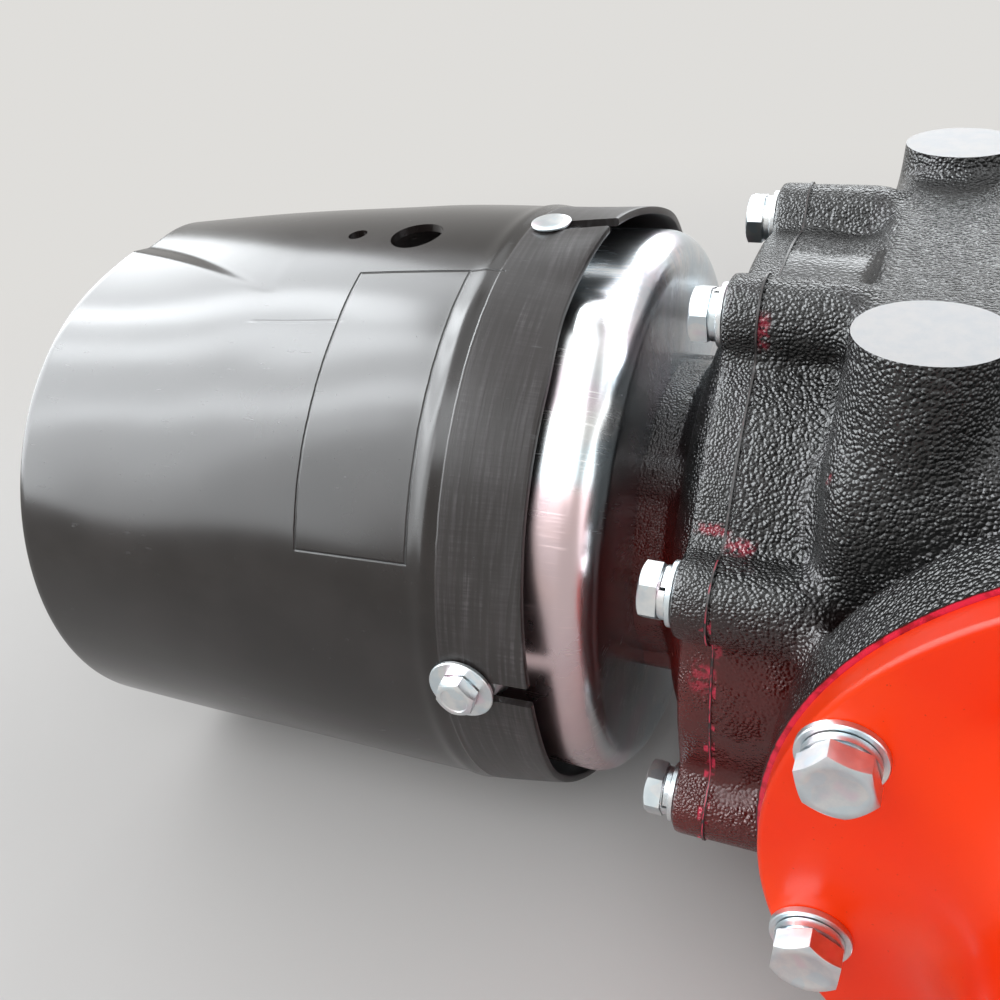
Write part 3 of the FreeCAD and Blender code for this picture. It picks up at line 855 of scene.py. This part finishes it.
def stand_in(piece, node, finish, shape):
    """Shapes a skin that was drawn in mm round the input axis by a function of its points,
    moves it to its place in metres, and lets it stand for the node."""
    mesh = piece.data
    set_points(mesh, shape(points_of(mesh)))
    set_points(mesh, points_of(mesh) * MM + np.array(AXIS_POINT))
    mesh.materials.clear()
    mesh.materials.append(finish)
    with edited(mesh) as bm:
        bmesh.ops.recalc_face_normals(bm, faces=bm.faces[:])
        sharpen(bm, 40)
    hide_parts(node)
    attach(piece, "gearbox")
    print(piece.name, "faces", len(piece.data.polygons))


print("skins ready")

# %% Guard tube
GUARD_REAR_Y, GUARD_FRONT_Y = -61.5, -278.0
GUARD_REAR_R, GUARD_FRONT_R = 125.0, 116.5
GUARD_WALL = 3.0
SLOT_R = 4.3
SLOT_TURNS = (0.0, 86.0, 180.0, 270.0)
SLOT_REACH = 30.0  # from the slot's round end to past the guard's rim
ROUND_HOLES = [(3.75, 84.2, -162.0), (10.0, 83.2, -135.5)]  # radius, turn, y
CUTTER_FROM, CUTTER_TO = 100.0, 140.0
GUARD_STEP = 2.4
BAND_LIP = (-107.0, -88.0)  # here the rings lie 1 mm apart
RIM_ROUND = 0.8


def guard_radius(y):
    share = (y - GUARD_FRONT_Y) / (GUARD_REAR_Y - GUARD_FRONT_Y)
    return GUARD_FRONT_R + (GUARD_REAR_R - GUARD_FRONT_R) * share


def guard_rim(y, way):
    """Section of a rim with rounded edges, from outside in. way is 1 at the rear, -1 in front."""
    r = guard_radius(y)
    return [(r - 0.25, y - 0.2 * way), (r - RIM_ROUND, y), (r - GUARD_WALL + RIM_ROUND, y),
            (r - GUARD_WALL + 0.25, y - 0.2 * way)]


def guard_rings():
    first, last = GUARD_FRONT_Y + RIM_ROUND, GUARD_REAR_Y - RIM_ROUND
    fine = list(np.arange(*BAND_LIP, 1.0))
    rough = np.arange(first, last, GUARD_STEP)
    rough = [y for y in rough if not BAND_LIP[0] - 0.5 < y < BAND_LIP[1]]
    outside = sorted(fine + rough + [last])
    inside = list(np.linspace(last, first, 40))
    front, rear = guard_rim(GUARD_FRONT_Y, -1), guard_rim(GUARD_REAR_Y, 1)
    return (front[:1] + [(guard_radius(y), y) for y in outside] + rear
            + [(guard_radius(y) - GUARD_WALL, y) for y in inside] + front[:0:-1])


def add_prism(bm, outline, turn_deg, y):
    """A closed prism that stands out from the axis. outline is in (round, along) mm."""
    a = math.radians(turn_deg)
    out = Vector((math.cos(a), 0, math.sin(a)))
    across = Vector((-math.sin(a), 0, math.cos(a)))
    add_bar(bm, [[bm.verts.new(out * r + across * u + Vector((0, y + v, 0))) for u, v in outline]
                 for r in (CUTTER_FROM, CUTTER_TO)])


def guard_cutter():
    mesh = bpy.data.meshes.new("guard_cutter")
    with edited(mesh) as bm:
        slot = arc((0, 0), SLOT_R, 180, 360, 24) + [(SLOT_R, SLOT_REACH), (-SLOT_R, SLOT_REACH)]
        for turn in SLOT_TURNS:
            add_prism(bm, slot, turn, GUARD_FIX_Y)
        for r, turn, y in ROUND_HOLES:
            add_prism(bm, arc((0, 0), r, 0, 360, 48)[:-1], turn, y)
        bmesh.ops.recalc_face_normals(bm, faces=bm.faces[:])
    return new_piece("guard_cutter", mesh)


def bend_guard(points):
    """Moves points of the straight cone, in mm, to where the used guard has them."""
    radius, y, turn = to_turns(points)
    back = smooth(y, -150.0, GUARD_REAR_Y)
    # the fold: a broad dent at the free end, and in it a crease whose crest runs back and down
    # the flank; behind the crest the wall drops over a few degrees, and it fades
    sunk = 4.6 * (1 - smooth(y, GUARD_FRONT_Y, -190.0))
    off = turn - (83.4 - (y - GUARD_FRONT_Y) * 0.172 + 0.7 * sunk)
    fading = np.clip((-183.0 - y) / 95.0, 0, 1) ** 0.7
    wide, drop = 1.0 + 3.4 * fading, 2.0 * fading
    down = np.clip(off / wide, 0, 1)
    radius -= sunk * np.where(off < 0, bell(off, 0.0, 22.0), bell(off, 0.0, 16.0))
    radius += 0.4 * fading * np.where(off < 0, bell(off, 0.0, 6.0), 1.0 - down)
    radius -= drop * np.where(off < wide, down, bell(off, wide, 10.0))
    # behind the band's line the wall bends in between its fixings, down to the cup
    bent = 7.4 * smooth(turn, 3.0, 32.0) * (1 - smooth(turn, 70.0, 85.0))
    bent = bent + 4.0 * (bell(turn, -135.0, 25.0) + bell(turn, -45.0, 25.0))
    share = np.clip((y - BAND_LINE_Y) / (GUARD_REAR_Y - BAND_LINE_Y), 0, 1) ** 1.15
    radius -= bent * share
    y = y - (0.38 + 0.25 * smooth(turn, 50.0, 66.0)) * bent * share
    # flaps at the rear rim, and a far flap pressed in towards the cup
    radius -= 5.0 * bell(turn, 114.0, 24.0) * back
    reach = smooth(y, GUARD_FIX_Y, GUARD_REAR_Y)
    radius += 1.2 * bell(turn, 78.0, 10.0) * reach
    y = y + reach * (5.5 * bell(turn, 112.0, 20.0) + 3.0 * bell(turn, -12.0, 22.0))
    # the band's raised lip, and slow dents
    radius += 0.7 * bell(y, -97.0, 3.4)
    radius -= 0.9 * bell(turn, 56.0, 9.0) * bell(y, -168.0, 26.0)
    radius -= 0.7 * bell(turn, 30.0, 12.0) * bell(y, -232.0, 34.0)
    radius += 0.35 * np.sin(np.radians(turn * 3 + 30) + y * 0.021)
    radius += 0.18 * np.sin(np.radians(turn * 7) + y * 0.055)
    lean = np.array([GUARD_LEAN[0], 0.0, GUARD_LEAN[1]])
    return from_turns(radius, y, turn) + (y - GUARD_FIX_Y)[:, None] * lean


guard_shell = new_piece("guard_shell", revolved("guard_shell", guard_rings(), GUARD_TURNS))
cutter = guard_cutter()
cut = guard_shell.modifiers.new("openings", "BOOLEAN")
cut.object = cutter
cut.solver = "EXACT"
finished(guard_shell)
bpy.data.objects.remove(cutter)
stand_in(guard_shell, "guard_tube", PLASTIC, bend_guard)

# %% [markdown]
# The cup is pressed from sheet in one draw: a flat back, a round edge and a short wall, with
# an oval bump high on its flank. Four small domes, pressed out of the wall, carry the guard.
# They repeat, so they are set out later with the fastenings.

# %% Pressed cup
CUP_R = 112.5
CUP_SHEET = 2.0
CUP_EDGE_R = 12.0
CUP_BACK_Y, CUP_FRONT_Y, CUP_EYE_R = -41.7, -97.0, 38.0


def cup_rings():
    middle = (CUP_R - CUP_EDGE_R, CUP_BACK_Y - CUP_EDGE_R)
    wall = list(np.linspace(middle[1] - 1.5, CUP_FRONT_Y, 22))
    inner = CUP_R - CUP_SHEET
    outside = [(r, CUP_BACK_Y) for r in np.linspace(CUP_EYE_R, middle[0], 12)[:-1]]
    outside += arc(middle, CUP_EDGE_R, 90, 0, 16) + [(CUP_R, y) for y in wall]
    inside = [(inner, y) for y in wall[::-1]] + arc(middle, CUP_EDGE_R - CUP_SHEET, 0, 90, 10)
    inside += [(r, CUP_BACK_Y - CUP_SHEET) for r in np.linspace(middle[0], CUP_EYE_R, 8)[1:]]
    return outside + inside


def press_cup(points):
    radius, y, turn = to_turns(points)
    spot = ((turn - 68.0) / 4.6) ** 2 + ((y + 58.5) / 7.4) ** 2
    radius += 1.1 * (1 - smooth(spot, 0.35, 1.35)) * smooth(radius, 100.0, 108.0)
    radius += 0.25 * np.sin(np.radians(turn * 4 + 50)) * smooth(-y, 50.0, 80.0)
    back = 0.35 * np.sin(np.radians(turn * 3)) * bell(radius, 85.0, 18.0)
    return from_turns(radius, y + back, turn)


cup_shell = new_piece("cup_shell", revolved("cup_shell", cup_rings(), even_turns(320)))
stand_in(cup_shell, "guard_cup", ZINC_CUP, press_cup)

# %% [markdown]
# Each hub is a ring that flares into a tube. Gloss paint shows every flat of a coarse mesh in
# its highlight, so the same skin of revolution draws the hubs again, finely, and lays them
# down on the cross shaft.

# %% Painted hubs
HUB_FOOT_X, HUB_FACE_X, HUB_MOUTH_X = 146.0, 156.0, 215.0
HUB_R, HUB_EDGE_R, HUB_FLARE_R = 112.5, 2.0, 89.0
HUB_TUBE_R, HUB_SOCKET_R, HUB_EYE_R = 57.0, 51.0, 46.0
HUB_FLOOR_X = 175.0


def hub_rings():
    run = HUB_FLARE_R - HUB_TUBE_R
    face = [(r, HUB_FACE_X) for r in np.linspace(HUB_R - HUB_EDGE_R, HUB_FLARE_R, 8)[1:-1]]
    return ([(HUB_EYE_R, HUB_FOOT_X), (HUB_R - 0.4, HUB_FOOT_X), (HUB_R, HUB_FOOT_X + 0.4)]
            + arc((HUB_R - HUB_EDGE_R, HUB_FACE_X - HUB_EDGE_R), HUB_EDGE_R, 0, 90, 8) + face
            + arc((HUB_FLARE_R, HUB_FACE_X + run), run, -90, -180, 24)
            + [(HUB_TUBE_R, HUB_MOUTH_X - 1.0), (HUB_TUBE_R - 1.0, HUB_MOUTH_X),
               (HUB_SOCKET_R + 0.6, HUB_MOUTH_X), (HUB_SOCKET_R, HUB_MOUTH_X - 0.6),
               (HUB_SOCKET_R, HUB_FLOOR_X), (HUB_EYE_R, HUB_FLOOR_X)])


for node, side in (("left_hub", 1), ("right_hub", -1)):
    hub = new_piece(node + "_painted", revolved(node, hub_rings(), even_turns(256)))
    stand_in(hub, node, ORANGE, lambda points: np.stack(
        [points[:, 1] * side, points[:, 0] + CROSS_BACK, points[:, 2]], -1))

# %% [markdown]
# Bolts repeat, so each kind is drawn once and Geometry Nodes sets it out. A bolt is a flat
# washer, a split spring washer and a hexagon head whose corners are chamfered by a cone. A
# ring of points at each height, joined to the next, is enough for all three.

# %% Drawing one bolt
RING_STEPS = 48
SPRING_STEPS = 40
SPRING_GAP = 7.0  # degrees
WASHER_BEVEL = 0.3


def vertex(bm, r, a, h):
    return bm.verts.new((r * math.cos(a) * MM, r * math.sin(a) * MM, h * MM))


def add_rings(bm, rings, closed=False):
    """A skin through rings of (radius, height) in mm, which may be functions of the turn. A
    radius of 0 is the pole. A closed skin joins up its ends."""
    rows = []
    for radius, height in rings:
        row = []
        for k in range(1 if radius == 0 else RING_STEPS):
            a = 2 * math.pi * k / RING_STEPS
            r = radius(a) if callable(radius) else radius
            h = height(a) if callable(height) else height
            row.append(vertex(bm, r, a, h))
        rows.append(row)
    pairs = list(zip(rows, rows[1:])) + ([(rows[-1], rows[0])] if closed else [])
    for low, high in pairs:
        if len(low) == len(high):
            bridge(bm, low, high)
            continue
        for k in range(RING_STEPS):
            n = (k + 1) % RING_STEPS
            if len(low) == 1:
                bm.faces.new((low[0], high[n], high[k]))
            else:
                bm.faces.new((low[k], low[n], high[0]))


def add_washer(bm, outer, inner, base, thick):
    edge = outer - WASHER_BEVEL
    add_rings(bm, [(inner, base), (edge, base), (outer, base + WASHER_BEVEL),
                   (outer, base + thick - WASHER_BEVEL), (edge, base + thick),
                   (inner, base + thick)], closed=True)


def add_spring_washer(bm, outer, inner, base, thick, rise):
    """A split ring: its section is carried round and climbs, and both ends are closed."""
    rows = []
    for k in range(SPRING_STEPS + 1):
        share = k / SPRING_STEPS
        a = math.radians(SPRING_GAP / 2 + share * (360 - SPRING_GAP))
        h = base + rise * share
        corners = [(inner, h), (outer, h), (outer, h + thick), (inner, h + thick)]
        rows.append([vertex(bm, r, a, z) for r, z in corners])
    add_bar(bm, rows)


def add_hex_head(bm, flats, base, tall):
    """Hexagon head: washer face, sides, chamfer cone and a shallow dish on top."""
    circle = flats / 2 * 0.97
    top = base + tall

    def radius(a):
        return flats / 2 / math.cos(a % (math.pi / 3) - math.pi / 6)

    def edge(a):
        return top - max(0.0, radius(a) - circle) * math.tan(math.radians(30))

    add_rings(bm, [(0, base), (circle * 0.96, base), (circle * 0.98, base + 0.4),
                   (radius, base + 0.5), (radius, edge), (circle, top), (circle * 0.80, top),
                   (circle * 0.74, top - 0.25), (0, top - 0.25)])


def closed_mesh(name, bm):
    bmesh.ops.recalc_face_normals(bm, faces=bm.faces[:])
    sharpen(bm, 32)
    mesh = bpy.data.meshes.new(name)
    bm.to_mesh(mesh)
    bm.free()
    return mesh


def draw_bolt(name, flats, tall, washer_r, washer_t, spring_r=0.0, spring_t=0.0):
    bm = bmesh.new()
    shank_r = flats * 0.28
    add_washer(bm, washer_r, shank_r, 0.0, washer_t)
    base = washer_t
    if spring_t:
        add_spring_washer(bm, spring_r, shank_r, base, spring_t - 0.5, 0.45)
        base += spring_t
    add_hex_head(bm, flats, base, tall)
    mesh = closed_mesh(name, bm)
    print("bolt", name, "faces", len(mesh.polygons))
    return mesh


def draw_pin(name, head_r, head_t, neck_r):
    """Flat round head with a rolled edge on a short neck."""
    bm = bmesh.new()
    add_rings(bm, [(0, -1.5), (neck_r, -1.5), (neck_r, 0.7), (head_r - 0.5, 0.7), (head_r, 1.1),
                   (head_r, 0.4 + head_t), (head_r - 0.6, 0.7 + head_t),
                   (head_r * 0.6, 0.85 + head_t), (0, 0.9 + head_t)])
    return closed_mesh(name, bm)


def draw_seat(name, foot_r, top_r, tall):
    """A dome pressed out of sheet: flared foot, conical side, flat top with a rounded edge."""
    bm = bmesh.new()
    add_rings(bm, [(0, -1.5), (foot_r + 2.0, -1.5), (foot_r + 1.2, 0.0), (foot_r, 1.0),
                   (top_r + 1.2, tall - 1.4), (top_r + 0.7, tall - 0.5), (top_r - 0.5, tall),
                   (0, tall)])
    return closed_mesh(name, bm)


COVER_BOLT = draw_bolt("cover_bolt", 17.0, 6.6, 10.5, 2.0, 8.6, 2.4)
HUB_BOLT = draw_bolt("hub_bolt", 19.0, 7.5, 12.0, 2.4, 10.2, 3.0)
GUARD_SCREW = draw_bolt("guard_screw", 13.0, 5.5, 12.0, 1.6)
CUP_SCREW = draw_bolt("cup_screw", 13.0, 5.5, 8.0, 1.6)
GUARD_PIN = draw_pin("guard_pin", 7.3, 1.2, 4.0)
CUP_SEAT = draw_seat("cup_seat", 13.0, 10.0, 8.6)

# %% [markdown]
# One tree sets out every circle of fastenings. Its points come from the count, the radius and
# the first turn, a tilt lays the bolts along the axis or out from it, and a seeded random turn
# spins each bolt a little, since nobody lines up hexagons. The last transform carries the
# circle to its place, and the instances are made real, so that they are plain meshes.

# %% The tree for circles of fastenings
CIRCLE_SIZES = {
    # label: kind of socket
    "Geometry": "Geometry", "Fastener": "Object", "Count": "Int", "Radius": "Float",
    "First": "Float", "Tilt": "Float", "Seed": "Int", "Turn": "Vector", "Centre": "Vector",
    "Material": "Material",
}
SPIN = 0.5  # radians either way


def circle_tree():
    tree = bpy.data.node_groups.new("fastenings_on_a_circle", "GeometryNodeTree")
    for label, kind in CIRCLE_SIZES.items():
        tree.interface.new_socket(label, in_out="INPUT", socket_type="NodeSocket" + kind)
    tree.interface.new_socket("Geometry", in_out="OUTPUT", socket_type="NodeSocketGeometry")
    g = Graph(tree)
    entry = tree.nodes.new("NodeGroupInput")
    size = {label: Wire(g, entry.outputs[label]) for label in CIRCLE_SIZES}
    number = g.node("GeometryNodeInputIndex")
    turn = number * (2 * math.pi) / size["Count"] + size["First"]
    spot = g.node("ShaderNodeCombineXYZ", None, [
        turn.math("COSINE") * size["Radius"], turn.math("SINE") * size["Radius"], 0.0])
    points = g.node("GeometryNodePoints", None, {"Count": size["Count"], "Position": spot})
    fastener = g.node("GeometryNodeObjectInfo", None, {"Object": size["Fastener"]}, "Geometry")
    facing = g.node("ShaderNodeCombineXYZ", None, [0.0, size["Tilt"], turn])
    placed = g.node("GeometryNodeInstanceOnPoints", None, {
        "Points": points, "Instance": fastener, "Rotation": facing})
    spin = g.node("FunctionNodeRandomValue", {"data_type": "FLOAT"}, {
        "Min": -SPIN, "Max": SPIN, "Seed": size["Seed"]}, "Value")
    spun = g.node("GeometryNodeRotateInstances", None, {
        "Instances": placed, "Rotation": g.node("ShaderNodeCombineXYZ", None, [0.0, 0.0, spin])})
    moved = g.node("GeometryNodeTransform", None, {
        "Geometry": spun, "Translation": size["Centre"], "Rotation": size["Turn"]})
    real = g.node("GeometryNodeRealizeInstances", None, [moved])
    made = g.node("GeometryNodeSetMaterial", None, {
        "Geometry": real, "Material": size["Material"]})
    g.feed(tree.nodes.new("NodeGroupOutput").inputs["Geometry"], made)
    return tree


def grow(name, tree, body, values):
    """Runs a tree on a new piece with these input values, and leaves a plain mesh."""
    piece = new_piece(name, bpy.data.meshes.new(name))
    modifier = piece.modifiers.new("made", "NODES")
    modifier.node_group = tree
    for item in tree.interface.items_tree:
        if item.in_out == "INPUT" and item.name in values:
            modifier[item.identifier] = values[item.name]
    finished(piece)
    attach(piece, body)
    print(name, "faces", len(piece.data.polygons))
    return piece


CIRCLE = circle_tree()
print("tree", CIRCLE.name, "nodes", len(CIRCLE.nodes))

# %% [markdown]
# Each row below is one circle: what is fastened, how many, on what radius, and which way the
# circle faces. The first turn puts the bolts where the model's holes are.

# %% Setting out the fastenings
FORWARD = (math.pi / 2, 0.0, 0.0)
BACKWARD = (-math.pi / 2, 0.0, 0.0)
LEFTWARD = (0.0, math.pi / 2, 0.0)
RIGHTWARD = (0.0, -math.pi / 2, 0.0)
COVER_FACE_Y, REAR_FACE_Y, CUP_FLOOR_Y = -11.8, 281.8, -43.7
COVER_BOLT_R, COVER_BOLT_START = 118.0, 22.5
HUB_BOLT_R, HUB_BOLT_START = 101.5, 24.5
GUARD_FIX_R, GUARD_PIN_R, SEAT_FOOT_R, CUP_SCREW_R = 124.15, 122.8, 112.2, 58.0
COVERS = (8, COVER_BOLT_R, COVER_BOLT_START, 0)
TOP, LOW = SLOT_TURNS[1], SLOT_TURNS[3]
AT_FIX, AT_CUP = (0, GUARD_FIX_Y, 0), (0, CUP_FLOOR_Y, 0)
CIRCLES = [
    # name, bolt, count, radius, first degrees, tilt degrees, facing, centre in mm, seed
    ("front_cover_bolts", COVER_BOLT, *COVERS, FORWARD, (0, COVER_FACE_Y, 0), 3),
    ("rear_cover_bolts", COVER_BOLT, *COVERS, BACKWARD, (0, REAR_FACE_Y, 0), 4),
    ("left_hub_bolts", HUB_BOLT, 8, HUB_BOLT_R, 45 - HUB_BOLT_START, 0, LEFTWARD,
     (HUB_FACE_X, CROSS_BACK, 0), 5),
    ("right_hub_bolts", HUB_BOLT, 8, HUB_BOLT_R, HUB_BOLT_START, 0, RIGHTWARD,
     (-HUB_FACE_X, CROSS_BACK, 0), 6),
    ("guard_screws", GUARD_SCREW, 2, GUARD_FIX_R, 0.0, 90, FORWARD, AT_FIX, 7),
    ("guard_pin_top", GUARD_PIN, 1, GUARD_PIN_R, TOP, 90, FORWARD, AT_FIX, 8),
    ("guard_pin_low", GUARD_PIN, 1, GUARD_PIN_R, LOW, 90, FORWARD, AT_FIX, 10),
    ("cup_screws", CUP_SCREW, 4, CUP_SCREW_R, 45.0, 0, FORWARD, AT_CUP, 9),
    ("cup_seats", CUP_SEAT, 4, SEAT_FOOT_R, 0.0, 90, FORWARD, AT_FIX, 11),
]
for name, mesh, count, radius, first, tilt, facing, centre, seed in CIRCLES:
    pattern = new_piece("pattern_" + name, mesh)
    grow(name, CIRCLE, "gearbox", {
        "Fastener": pattern, "Count": count, "Radius": radius * MM, "First": math.radians(first),
        "Tilt": math.radians(tilt), "Seed": seed, "Turn": facing, "Centre": at(*centre),
        "Material": ZINC})
    bpy.data.objects.remove(pattern)
